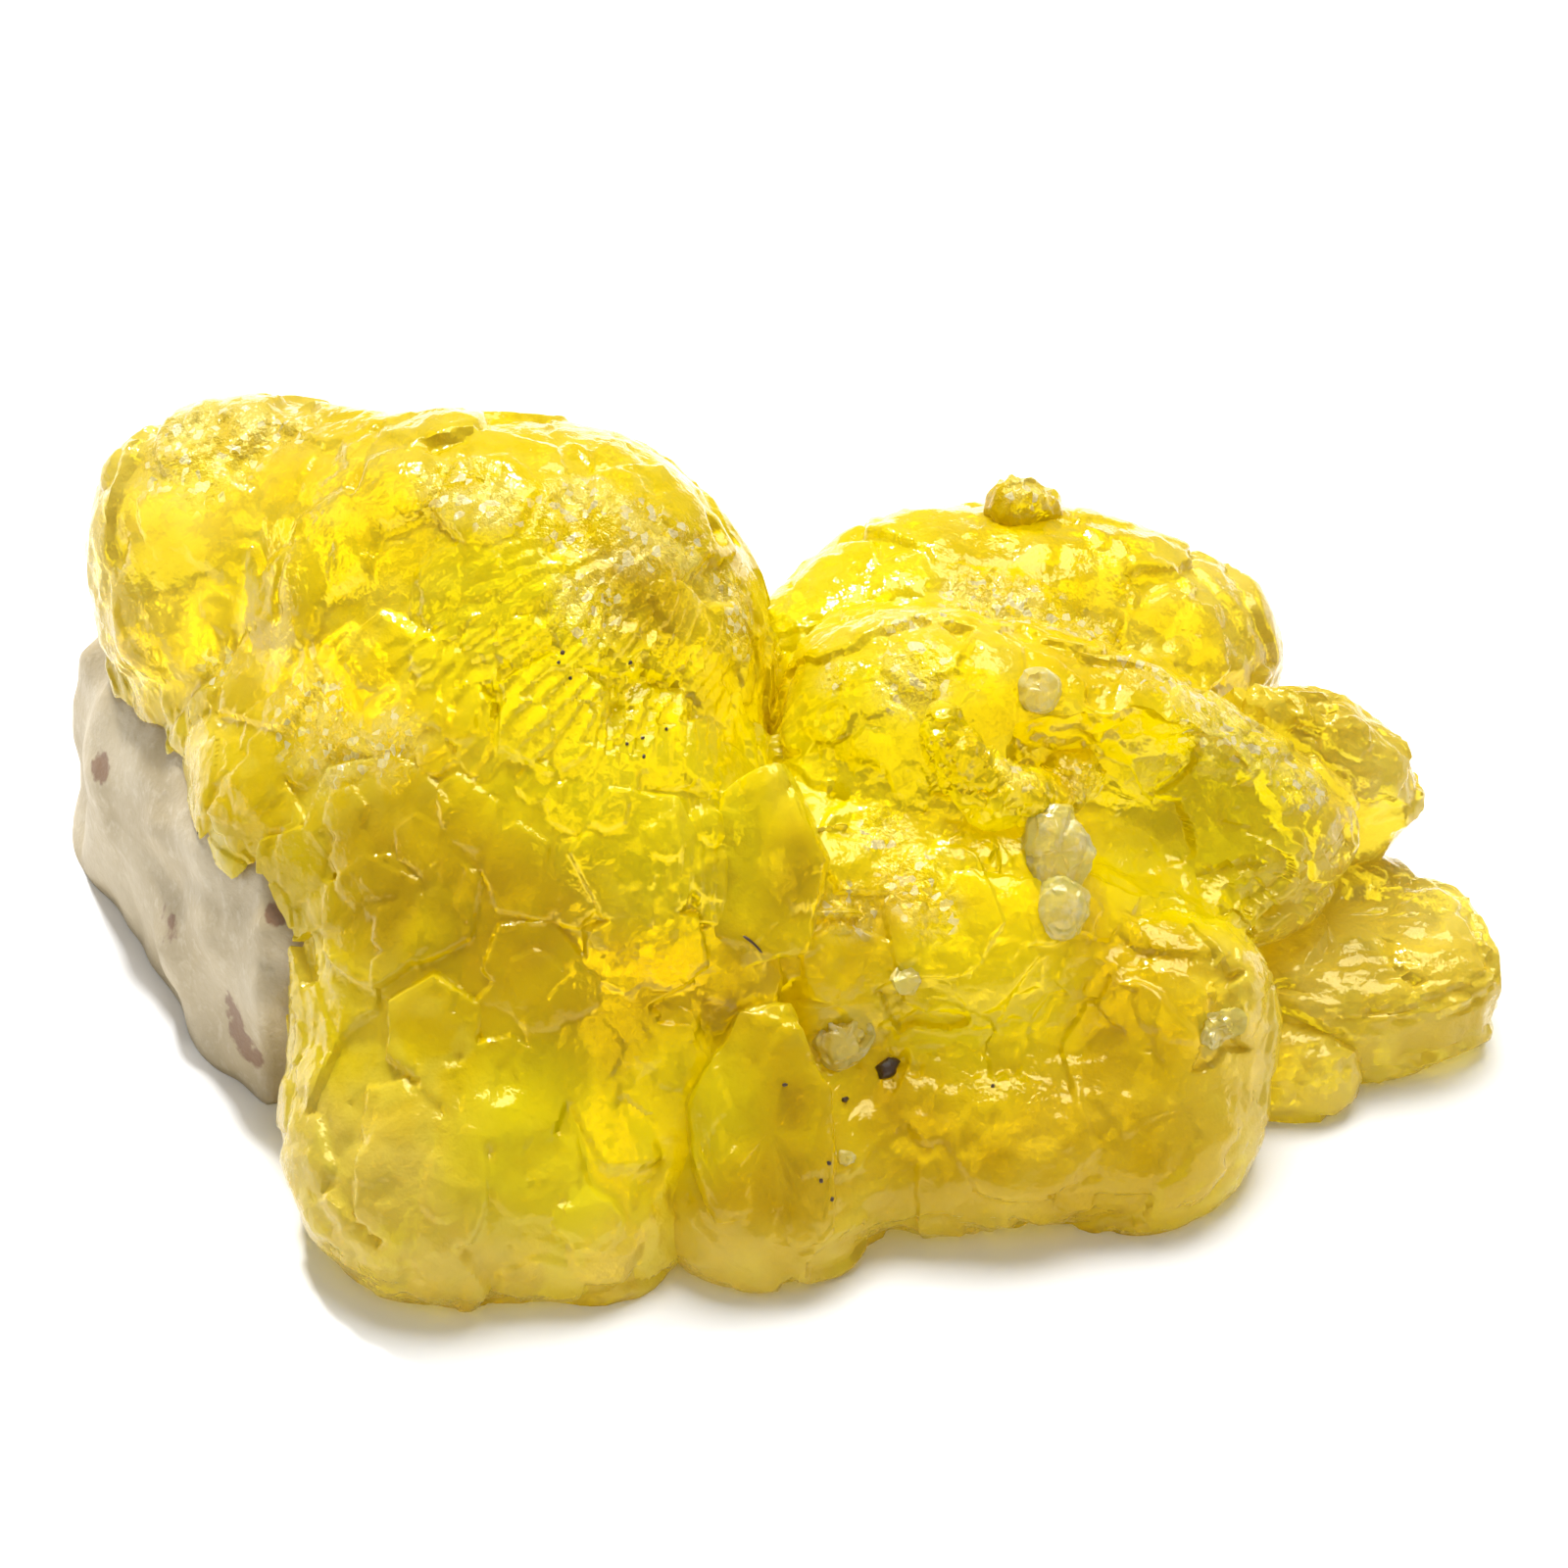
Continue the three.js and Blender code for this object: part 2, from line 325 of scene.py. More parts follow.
def facets(points, normals, size, seed, most, bevel):
    """How far each point is from the flat face that its cell is given, at most the limit.

    Space is cut into cells round chance places, and a point goes to the cell whose place is
    nearest to where it looks. A cell's face goes through the middle of its points and looks the
    way they do. Near a border the heights of the two nearest faces are blended.
    """
    span = 400  # more cells than lie across the specimen, so that each has a number of its own
    raised = points + 0.4 * size * normals
    cell = np.floor(raised / size)
    reach = np.full((2, len(points)), np.inf, np.float32)
    owner = np.zeros((2, len(points)), np.int64)
    for step in itertools.product((-1, 0, 1), repeat=3):
        home = cell + step
        away = raised - (home + CHANCES[chances(home, seed), :3]) * size
        far = np.sqrt((away * away).sum(1))
        name = ((home + span // 2) @ [span * span, span, 1]).astype(np.int64)
        first = far < reach[0]
        second = ~first & (far < reach[1])
        reach[1] = np.where(first, reach[0], np.where(second, far, reach[1]))
        owner[1] = np.where(first, owner[0], np.where(second, name, owner[1]))
        reach[0] = np.where(first, far, reach[0])
        owner[0] = np.where(first, name, owner[0])
    names, face = np.unique(owner[0], return_inverse=True)
    other = np.minimum(np.searchsorted(names, owner[1]), len(names) - 1)
    other = np.where(names[other] == owner[1], other, face)
    count = np.bincount(face)[:, None]
    middle = np.stack([np.bincount(face, points[:, k]) for k in range(3)], 1) / count
    axis = unit(np.stack([np.bincount(face, normals[:, k]) for k in range(3)], 1))
    own, next_to = [
        np.clip(((middle[which] - points) * axis[which]).sum(1), -most, most) for which in (face, other)
    ]
    share = 0.5 + 0.5 * np.clip((reach[1] - reach[0]) / bevel, 0, 1)
    return share * own + (1 - share) * next_to


def near(points, place, size):
    """1 at a place and 0 beyond an ellipsoid of the size round it."""
    away = (points - np.array(place, np.float32)) / np.array(size, np.float32)
    return smooth(1.6 - 1.6 * np.sqrt((away * away).sum(1)))


FAN_ROOT = np.array([-1.0, 3.0, 2.0], np.float32)  # where the terraces spread from
# The widths of the plates and flat faces, and of one terrace, rib and ripple.
WIDE_PLATE = 3.0
SMALL_PLATE = 1.3
LARGE_FACE = 1.3
SMALL_FACE = 0.65
TERRACE = 0.3
RIB = 0.35
RIPPLE = 0.9
FLANK = dict(place=(-6.5, 1.0, 13.0), size=(6.5, 5.5, 6.0))
RIBS = dict(place=(-3.1, -2.9, 9.3), size=(2.6, 3.0, 3.2))
LEFT_APRON = dict(place=(-9.0, -6.0, 2.0), size=(8.0, 7.0, 5.0))
RIGHT_APRON = dict(place=(6.0, -5.0, 1.0), size=(9.0, 5.0, 4.5))


def relief(points, normals):
    """How far the crystals' skin stands out, in millimetres.

    Plates and flat faces are everywhere. The flank of the left dome has fine terraces and more of
    the small plates, the crystals under it have upright ribs, and the aprons soft ripples.
    """
    flank = near(points, **FLANK)
    ribs = near(points, **RIBS)
    lower = near(points, **LEFT_APRON) + near(points, **RIGHT_APRON)
    outward = np.sqrt(((points - FAN_ROOT) ** 2).sum(1))
    wide = plates(points, normals, WIDE_PLATE, 1, 0.1)
    small = plates(points, normals, SMALL_PLATE, 11, 0.1)
    rough = 0.16 * clouds(points, 3.4, 60, 2) + 0.06 * clouds(points, 1.2, 70, 2)
    faces = 0.7 * facets(points, normals, LARGE_FACE, 95, 0.14, 0.05)
    faces = faces + facets(points, normals, SMALL_FACE, 97, 0.08, 0.04)
    terraces = treads(outward + 0.3 * wide + 0.5 * small + 0.2 * clouds(points, 3, 40), TERRACE)
    upright = treads(points[:, 0] + 0.15 * clouds(points, 2.0, 45), RIB, 0.5)
    ripples = treads(outward + 0.9 * clouds(points, 2.4, 80), RIPPLE, 0.8)
    plated = 0.34 * wide + (0.12 + 0.1 * flank) * small
    stepped = 0.8 * flank * terraces
    return plated + faces + stepped + 0.6 * ribs * upright + 0.4 * lower * ripples + rough - 0.25


def softened(heights, rows, columns):
    """Heights averaged with their neighbours' along and across the grid, in the weights 1, 6, 1."""
    field = heights.reshape(rows, columns)
    field = (np.roll(field, 1, 1) + 6 * field + np.roll(field, -1, 1)) / 8
    field[1:-1] = (field[:-2] + 6 * field[1:-1] + field[2:]) / 8
    return field.reshape(-1, 1)


def skin(mass, rows, columns):
    """The points and faces of a mass with its relief."""
    points = mass.grid(rows, columns)
    normals = ball_normals(points, rows, columns)
    return points + normals * softened(relief(points, normals), rows, columns), ball_faces(rows, columns)


left_mass = Mass(
    core=(-8.6, 1.5, 5),
    web=1.1,
    lobes=[
        (-6.5, 5.1, 10.2, 6.4, 6.5, 7.8),  # the high dome
        (-10.5, 6.8, 12.5, 4.3, 4.3, 4.5),  # its left shoulder
        (-16.7, 10.4, 11.2, 3.4, 3, 3.8),  # the top of the left wall
        (-13.8, 10.4, 12, 2.6, 2.7, 2.8),  # the ridge between them
        (-15.7, 8.4, 8, 3.9, 3.8, 4.4),  # the left wall
        (-12.4, 3, 7, 4.6, 4.8, 4.6),  # the foot of the wall
        (-7.4, 0.6, 8.4, 5.4, 4.8, 5.4),  # the terraced flank
        (-8.6, -2.4, 5.2, 5, 4.4, 4.6),  # the slope under it
        (-4.2, -1.4, 7.4, 4.2, 3.6, 4.8),  # the ribbed front
        (-9.7, -5.9, 2, 4.7, 5.6, 4.1),  # the left apron
        (-5.4, -7.4, 1, 2.6, 3.2, 2.8),  # its right end
        (-2.6, -4.4, 3.4, 3.2, 3, 3.8),  # the foot of the hub
        (-4.6, 7.6, 3.6, 6.2, 4.6, 5.4),  # the back of the dome
    ],
)
right_mass = Mass(
    core=(6, 1.5, 4.5),
    web=0.6,
    lobes=[
        (3.9, 3, 9.8, 4.5, 3.2, 3.6),  # the shell's crest, left
        (8.3, 3, 8.5, 4.7, 3.3, 3.6),  # the crest, middle
        (12.2, 2.9, 5.9, 4.2, 3.2, 3.4),  # the crest, right
        (0.8, 6.8, 7.6, 2.8, 3, 3.5),  # the neck behind the hub
        (3.8, 9, 8.6, 3.7, 3.7, 3.4),  # the dome behind, left
        (7.4, 9.6, 8, 4.3, 3.9, 3.7),  # the dome behind, middle
        (10.8, 9.3, 7, 3.5, 3.6, 3.6),  # the dome behind, right
        (5.4, 9.4, 2.4, 7, 4.2, 5),  # its foot
        (10.6, 5.6, 2.6, 3.6, 3.8, 4.2),  # the root of the fin
        (5, -0.8, 5.8, 5.1, 4.3, 3.9),  # the front of the shell
        (10.9, -2.7, 4.4, 2.9, 2.7, 2.8),  # the right knee
        (-0.6, -6.4, 1.4, 3.6, 4, 3.2),  # the base of the tongue
        (5.2, -4.8, 1.8, 5.8, 3.6, 3),  # the right apron
        (10.4, -4.4, 1.6, 3.1, 3.1, 2.8),  # its right end
        (0.4, -0.6, 5.8, 3.6, 4.6, 4.4),  # the hub
    ],
)


def turned(points, degrees):
    """Turned about X, then Y, then Z."""
    for axis, angle in enumerate(degrees):
        c, s = math.cos(math.radians(angle)), math.sin(math.radians(angle))
        a, b = (axis + 1) % 3, (axis + 2) % 3
        before = points
        points = points.copy()
        points[:, a] = c * before[:, a] - s * before[:, b]
        points[:, b] = s * before[:, a] + c * before[:, b]
    return points


def form(at, size, turn=(0, 0, 0), edge=1.0, corners=6, flat=0.5, phase=0.0, swell=0.05, grow=0.0,
         relieved=1.0, lumps=0.0, fineness=7):
    """A ball whose plan is drawn towards a polygon and whose profile is drawn towards a plate.

    With a the angle from the pole, the plan's radius is sin a and the height cos a, each to the
    power edge; the plan is then scaled by the polygon's reach and an uneven swell. grow is added
    to half the size, lumps is how far soft swellings stand out, relieved the share of the
    crystals' relief that it takes, and fineness its rows for each millimetre.
    """
    rows = int(max(size) * fineness * FINE) + 12
    columns = 2 * rows
    tilt = np.linspace(0, math.pi, rows)[:, None]
    angle = np.linspace(0, 2 * math.pi, columns, endpoint=False)[None]
    side = 2 * math.pi / corners
    within = np.mod(angle - phase, side)
    polygon = math.cos(side / 2) / np.cos(within - side / 2)
    uneven = 1 + swell * (np.sin(2 * angle + 7 * phase) + 0.7 * np.sin(3 * angle + size[0]))
    reach = np.sin(tilt) ** edge * (1 + flat * (polygon - 1)) * uneven
    height = np.sign(np.cos(tilt)) * np.abs(np.cos(tilt)) ** edge + 0 * angle
    half = np.array(size) / 2 + grow
    ball = np.stack([reach * np.cos(angle), reach * np.sin(angle), height], -1).reshape(-1, 3) * half
    points = (turned(ball, turn) + np.array(at)).astype(np.float32)
    if lumps:
        points = points + unit(points - np.array(at)) * (lumps * clouds(points, 4.5, 300))[:, None]
    if relieved:
        outward = unit(turned(ball / half**2, turn)).astype(np.float32)
        heights = relief(points, outward)
        heights[:columns] = heights[0]
        heights[-columns:] = heights[-1]
        points = points + relieved * outward * softened(heights, rows, columns)
    return points, ball_faces(rows, columns)


def closed_object(name, points, faces):
    """A bare mesh object from points in millimetres from the hub, its doubled points merged."""
    mesh = bpy.data.meshes.new(name)
    mesh.from_pydata((points + HUB) * MM, [], faces)
    made = bpy.data.objects.new(name, mesh)
    bpy.context.scene.collection.objects.link(made)
    weld = made.modifiers.new("weld", "WELD")
    weld.merge_threshold = 1e-7
    return made


def bake(made):
    """Puts what the modifiers make of an object into its mesh."""
    graph = bpy.context.evaluated_depsgraph_get()
    mesh = bpy.data.meshes.new_from_object(made.evaluated_get(graph))
    made.modifiers.clear()
    made.data = mesh
    return mesh


def carved(made, operation, others):
    """Joins other solids to one or cuts them from it, then removes them."""
    tools = bpy.data.collections.new(operation.lower())
    for other in others:
        tools.objects.link(other)
    step = made.modifiers.new(operation.lower(), "BOOLEAN")
    step.operation = operation
    step.solver = "MANIFOLD"
    step.operand_type = "COLLECTION"
    step.collection = tools
    mesh = bake(made)
    for other in others:
        bpy.data.objects.remove(other)
    bpy.data.collections.remove(tools)
    return mesh


mass_rows = 4 * int(90 * FINE)
body = closed_object("brucite_crystals", *skin(left_mass, mass_rows, 2 * mass_rows))
right = closed_object("right", *skin(right_mass, mass_rows, 2 * mass_rows))
scoop = closed_object("scoop", *form(at=(11.0, -0.4, 9.7), turn=(50, 26, 0), size=(10.4, 5.8, 4.8)))
carved(right, "DIFFERENCE", [scoop])

HEART = dict(at=(-0.4, 1.4, 4), size=(11, 13, 9.4), edge=0.7, fineness=3)
RIGHT_BASE = dict(at=(5.6, 2.2, 1.4), size=(17, 14, 4.6), edge=0.6, fineness=3)
LEFT_BASE = dict(at=(-6.8, -1.6, 1.4), size=(10, 12, 4.6), edge=0.6, fineness=3)
FIN = dict(at=(14.8, 5.2, 6.3), turn=(0, 40, 0), size=(7.2, 3, 5), edge=0.6, phase=0.5)
SLAB = dict(at=(15.4, 2.2, 1.6), size=(10.6, 7.4, 4), edge=0.45, phase=0.5)
SLAB_KNOB = dict(at=(14.6, -1.2, 0.8), size=(4, 3.4, 3.2), edge=0.8)
HEXAGON = dict(
    at=(-0.8, -3.1, 9.65), turn=(50, -14, 0), size=(4.2, 5.8, 1.6), edge=0.3, flat=1.0, swell=0.1,
    relieved=0.5,
)
LOWER_PLATE = dict(
    at=(-3.5, -5.0, 6.85), turn=(52, 4, 0), size=(6.4, 6.0, 1.8), edge=0.4, flat=0.9, swell=0.14,
)
TONGUE = dict(
    at=(-0.6, -7.75, 4.3), turn=(53, 6, 6), size=(3.7, 8.0, 1.6), edge=0.3, corners=7, flat=1.0, phase=0.3,
    swell=0.16, relieved=0.6,
)
DOME_KNOB = dict(at=(6.8, 10.7, 11.5), size=(2.0, 1.8, 2.2), swell=0.14, relieved=0.9)
WALL_KNOBS = [
    ((-18.8, 10.6, 12.8), 1.9),
    ((-16.4, 10.8, 13.9), 2.6),
    ((-13.8, 10.8, 13.3), 2.4),
    ((-19.3, 10.2, 10.6), 1.7),
]
shapes = [HEART, RIGHT_BASE, LEFT_BASE, FIN, SLAB, SLAB_KNOB, HEXAGON, LOWER_PLATE, TONGUE, DOME_KNOB]
shapes += [dict(at=place, size=(wide, wide, wide), relieved=0.4) for place, wide in WALL_KNOBS]
forms = [closed_object(f"form_{number}", *form(**shape)) for number, shape in enumerate(shapes)]
carved(body, "UNION", [right, *forms])

HOST_ROCK = dict(
    at=(-13.5, 6.4, 2.6), turn=(0, 0, 26), size=(14, 19.8, 11.6), edge=0.5, corners=4, flat=0.6,
    phase=math.pi / 4, swell=0.04, relieved=0.0, lumps=0.9, fineness=5,
)
ROCK_GAP = 0.2
GROUND_HALF = 60
GROUND_DEEP = 30
ground_sides = [(-GROUND_HALF, GROUND_HALF), (-GROUND_HALF, GROUND_HALF), (-GROUND_DEEP, 0)]
ground_points = np.array(list(itertools.product(*ground_sides)), float)
ground_faces = [(0, 1, 3, 2), (4, 6, 7, 5), (0, 4, 5, 1), (2, 3, 7, 6), (0, 2, 6, 4), (1, 5, 7, 3)]
pocket = closed_object("pocket", *form(grow=ROCK_GAP, **HOST_ROCK))
carved(body, "DIFFERENCE", [pocket, closed_object("ground", ground_points, ground_faces)])


def seen(pixels, surface):
    """Where pixels of the camera's frame look on a surface, in millimetres from the hub.

    A pixel that looks just past the surface gives the surface's nearest point.
    """
    half_frame = 800
    tree = BVHTree.FromObject(surface, bpy.context.evaluated_depsgraph_get())
    turn = camera.rotation_euler.to_matrix()
    half = camera_data.sensor_width / 2
    found = []
    for column, row in pixels:
        across, up = column / half_frame - 1, 1 - row / half_frame
        way = turn @ Vector((across * half, up * half, -camera_data.lens))
        hit = tree.ray_cast(camera.location, way)[0]
        if hit is None:
            hit = tree.find_nearest(camera.location + camera_distance * way.normalized())[0]
        found.append(np.array(hit) / MM - HUB)
    return np.array(found)


def spots_on(surface, pixels):
    """A place and three radii for each column, row and radius of a list of soft round spots."""
    places = seen([spot[:2] for spot in pixels], surface)
    return [(place, (spot[2],) * 3) for place, spot in zip(places, pixels)]


def tube(path, radii, columns=24, steps=12, crumbs=0.0):
    """A closed tube along a smooth line through the points of a path, with a radius for each.

    Between two points the line is the cubic with their slopes. crumbs is how far small lumps
    and plates stand out of it.
    """
    along = np.linspace(0, len(path) - 1, steps * len(path))
    first = np.clip(np.floor(along).astype(int), 0, len(path) - 2)
    t = (along - first)[:, None]
    slopes = np.gradient(path, axis=0)
    line = path[first] * (1 + 2 * t) * (1 - t) ** 2 + path[first + 1] * t * t * (3 - 2 * t)
    line = line + slopes[first] * t * (1 - t) ** 2 - slopes[first + 1] * t * t * (1 - t)
    width = np.interp(along, np.arange(len(path)), radii)
    closing = np.minimum(along, along[-1] - along)
    width = width * np.sqrt(np.clip(closing * 2.5, 0, 1))
    ahead = unit(np.gradient(line, axis=0))
    to_camera = [0.1, -0.7, 0.7]
    side = unit(np.cross(ahead, to_camera))
    over = np.cross(side, ahead)
    turn = np.linspace(0, 2 * math.pi, columns, endpoint=False)[None, :, None]
    outward = side[:, None] * np.cos(turn) + over[:, None] * np.sin(turn)
    points = (line[:, None] + outward * width[:, None, None]).reshape(-1, 3).astype(np.float32)
    outward = outward.reshape(-1, 3).astype(np.float32)
    if crumbs:
        fade = np.repeat(np.minimum(width / radii[0], 1), columns)
        lumps = clouds(points, 0.7, 500) + 0.7 * plates(points, outward, 0.5, 510)
        points += outward * (crumbs * fade * lumps)[:, None]
    return points, ball_faces(len(line), columns)


LEDGE_PIXELS = [(952, 718), (972, 765), (1000, 800), (1035, 818), (1068, 812), (1096, 795), (1120, 812)]
LEDGE_RADII = [0.5, 0.7, 0.85, 0.85, 0.75, 0.65, 0.6]
ledge_path = seen(LEDGE_PIXELS, body) + [0, -0.2, 0.25]
ledge = closed_object("ledge", *tube(ledge_path, LEDGE_RADII, 48, 30, 0.2))
whole = carved(body, "UNION", [ledge])

MOST_TRIANGLES = 190000
SHARP = math.radians(35)
triangles = sum(len(face.vertices) - 2 for face in whole.polygons)
thin = body.modifiers.new("thinned", "DECIMATE")
thin.ratio = min(1, MOST_TRIANGLES * FINE**2 / triangles)
whole = bake(body)
whole.shade_smooth()
whole.set_sharp_from_angle(angle=SHARP)


def marked(mesh, groups):
    """Stores masks at a mesh's points: each is the highest of its soft spots.

    They are the red, green, blue and alpha of marks. The red of tones is how near a point is to the
    hub, the green and blue are soft noise with lumps of 3 and 1 mm, all from 0 to 1.
    """
    points = np.empty(len(mesh.vertices) * 3, np.float32)
    mesh.vertices.foreach_get("co", points)
    points = points.reshape(-1, 3) / MM - HUB
    masks = np.zeros((len(points), 4), np.float32)
    for channel, spots in enumerate(groups):
        for place, size in spots:
            masks[:, channel] = np.maximum(masks[:, channel], near(points, place, size))
    mesh.attributes.new("marks", "FLOAT_COLOR", "POINT").data.foreach_set("color", masks.ravel())
    masks[:, 0] = near(points, (-1.0, 1.5, 11.0), (22, 19, 16)) + 0.25 * clouds(points, 3.0, 600)
    masks[:, 1] = 0.5 + 0.5 * clouds(points, 3.0, 610)
    masks[:, 2] = 0.5 + 0.5 * clouds(points, 1.0, 620)
    mesh.attributes.new("tones", "FLOAT_COLOR", "POINT").data.foreach_set("color", masks.ravel())


# Columns and rows in the camera's frame, and radii in millimetres.
# Frosted patches, partly real frosted texture and partly painted highlight: they sit where glints fall, are
# painted lighter and carry the painted glints.
FROST_AND_GLINT_PIXELS = [
    (190, 450, 2.4), (235, 445, 2.0), (140, 440, 1.6), (300, 430, 1.4), (465, 495, 1.6), (510, 520, 1.2),
    (590, 525, 1.8), (650, 545, 1.8), (600, 620, 1.5), (700, 560, 1.2), (760, 640, 1.3), (740, 600, 1.0),
    (935, 625, 1.6), (1000, 620, 1.7), (1060, 635, 1.6), (1110, 650, 1.3), (1170, 680, 1.3),
    (1230, 725, 1.8), (1280, 750, 1.6), (1330, 800, 1.2), (850, 690, 0.8), (930, 690, 1.6),
    (870, 930, 1.2), (930, 900, 1.4), (950, 930, 1.2), (900, 850, 1.0), (320, 740, 2.0), (350, 770, 1.6),
    (225, 685, 1.0), (400, 760, 1.4), (1045, 500, 0.9), (1110, 800, 0.9), (1040, 790, 0.8),
]
DIRT_PIXELS = [
    (640, 1060, 1.4), (735, 1040, 1.0), (735, 895, 1.0), (930, 1020, 1.2), (625, 640, 1.4), (640, 720, 1.3),
    (710, 720, 1.0), (435, 815, 1.2), (1000, 790, 1.2), (1050, 825, 1.2), (985, 750, 1.0),
    (790, 1130, 1.2), (820, 1200, 0.9), (205, 715, 1.6), (1305, 940, 0.7), (1245, 985, 0.7),
    (1385, 970, 0.8), (1337, 712, 0.6),
]
# Painted light: spots where light gathers, in the hub's valley, the scoop and the aprons, later painted a
# brighter lemon yellow.
PAINTED_LIGHT_PIXELS = [
    (500, 640, 4.0), (600, 760, 5.0), (560, 700, 4.0), (880, 770, 5.0), (820, 800, 4.0), (1000, 850, 3.5),
    (1200, 850, 5.0), (1000, 1010, 4.0), (700, 1130, 3.0), (560, 1170, 4.0), (860, 600, 4.0),
    (700, 850, 4.0),
]
# Painted shade, with some real colour: the large spots under the left dome, at the plates and aprons in
# front and at the right are painted shade, and the small spots along the ledge give its crust its own dark
# olive.
SHADE_AND_CRUST_PIXELS = [
    (510, 920, 3.5), (660, 1030, 4.0), (700, 1000, 3.0), (780, 1160, 4.0), (980, 1130, 4.5),
    (1100, 1000, 3.0), (640, 620, 2.5), (1150, 1060, 3.0), (380, 900, 3.0), (1180, 960, 2.0),
    (790, 880, 2.0), (950, 950, 3.0), (1130, 1190, 4.0), (640, 1050, 4.0), (800, 1200, 2.5),
    (960, 735, 1.0), (980, 775, 1.1), (1005, 803, 1.1), (1040, 820, 1.1), (1070, 812, 1.0),
    (1100, 800, 1.0),
]
spot_groups = (FROST_AND_GLINT_PIXELS, DIRT_PIXELS, PAINTED_LIGHT_PIXELS, SHADE_AND_CRUST_PIXELS)
marked(whole, [spots_on(body, pixels) for pixels in spot_groups])

yellow, yellow_out, place = new_material("yellow_crystal")
PER_METRE = 1000.0
from_hub = place.node("ShaderNodeVectorMath", {0: place, 1: tuple(-HUB * MM)}, operation="ADD")
mm = from_hub.node("ShaderNodeVectorMath", {0: from_hub, 3: PER_METRE}, operation="SCALE")


def noise(mm, scale, detail=3.0, roughness=0.5):
    """Soft noise from 0 to 1, with so many lumps to a millimetre."""
    return mm.node(
        "ShaderNodeTexNoise", {"Vector": mm, "Scale": scale, "Detail": detail, "Roughness": roughness}
    )


def split(vector):
    """The three parts of a vector or colour."""
    kind = "ShaderNodeSeparateXYZ"
    return [vector.node(kind, {0: vector}, part) for part in range(3)]


pale_yellow = rgb(0.95, 0.77, 0.11)
golden_yellow = rgb(1.0, 0.79, 0.0)
amber = rgb(0.72, 0.52, 0.0)
light_yellow = rgb(1.0, 0.88, 0.1)
shade_and_crust_olive = rgb(0.64, 0.44, 0.0)
painted_light_yellow = rgb(1.0, 0.9, 0.0)
frost_and_sparkle_yellow = rgb(1.0, 0.93, 0.3)
dirt_brown = rgb(0.38, 0.27, 0.0)
painted_glint_white = rgb(1.0, 0.98, 0.62)
sheen_yellow = rgb(1.0, 0.88, 0.4)
brucite_ior = 1.57
marks = place.node("ShaderNodeAttribute", attribute_name="marks")
frost_and_glint, dirty, painted_light = split(marks)
shade_and_crust = Socket(marks.tree, marks.socket.node.outputs["Alpha"])
rich, soft, mottled = split(place.node("ShaderNodeAttribute", attribute_name="tones"))
fine = noise(mm, 2.6, 2.0, 0.6)
crisp = noise(mm, 5.0, 2.0, 0.7)
colour = rich.over(0.1, 0.7).mixed(pale_yellow, golden_yellow)
colour = (0.45 * soft.over(0.45, 0.75)).mixed(colour, amber)
colour = (0.3 * mottled.over(0.5, 0.8)).mixed(colour, light_yellow)
# Painted shade: darker olive where shade falls under the dome and in front, and the ledge's own dark olive
# crust.
colour = (0.6 * shade_and_crust * (0.8 + mottled)).mixed(colour, shade_and_crust_olive)
# Painted light: the pools of light at these spots are painted in as a brighter lemon yellow.
colour = (0.8 * painted_light).mixed(colour, painted_light_yellow)
# Frost, partly real and partly painted highlight: the frosted patches are painted a lighter yellow for
# their sparkle.
frost_and_sparkle = frost_and_glint * (mottled * 0.5 + crisp * 0.8).over(0.5, 0.75)
colour = (0.4 * frost_and_sparkle).mixed(colour, frost_and_sparkle_yellow)
dirt = (dirty + 1.2 * (fine + mottled - 1)).over(0.3, 1.2)
colour = (0.3 * dirt).mixed(colour, dirt_brown)
flake = mm.node("ShaderNodeTexVoronoi", {"Vector": mm, "Scale": 4.5}, 1)
# Painted highlights: in the frosted patches, a few small cells are painted near white as glints.
painted_glint = frost_and_glint.over(0.2, 0.7) * split(flake)[0].over(0.84, 0.87)
colour = (0.85 * painted_glint).mixed(colour, painted_glint_white)
lean = mm.node("ShaderNodeVectorMath", {0: flake, 1: (0.5, 0.5, 0.5)}, operation="SUBTRACT")
lean = mm.node("ShaderNodeVectorMath", {0: lean, 3: 0.08 + 0.5 * frost_and_glint}, operation="SCALE")
leaning = mm.node("ShaderNodeVectorMath", {0: place.node("ShaderNodeNewGeometry", output=1), 1: lean})
leaning = mm.node("ShaderNodeVectorMath", {0: leaning}, operation="NORMALIZE")
grain = fine * 0.5 + crisp * (0.2 + frost_and_glint)
bump = mm.node("ShaderNodeBump", {"Height": grain, "Distance": 0.00012, "Strength": 0.6, "Normal": leaning})
shader = place.node(
    "ShaderNodeBsdfPrincipled",
    {
        "Base Color": colour,
        "Roughness": 0.06 + 0.12 * mottled * soft,
        "IOR": brucite_ior,
        "Specular IOR Level": 0.25,
        "Specular Tint": sheen_yellow,
        "Transmission Weight": 0.62,
        "Normal": bump,
    },
)
place.tree.links.new(shader.socket, yellow_out.inputs["Surface"])
tint = place.node("ShaderNodeVolumeAbsorption", {"Color": rgb(0.985, 0.968, 0.0), "Density": 500.0})
place.tree.links.new(tint.socket, yellow_out.inputs["Volume"])
whole.materials.clear()
whole.materials.append(yellow)
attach(body, "root")
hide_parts("brucite")

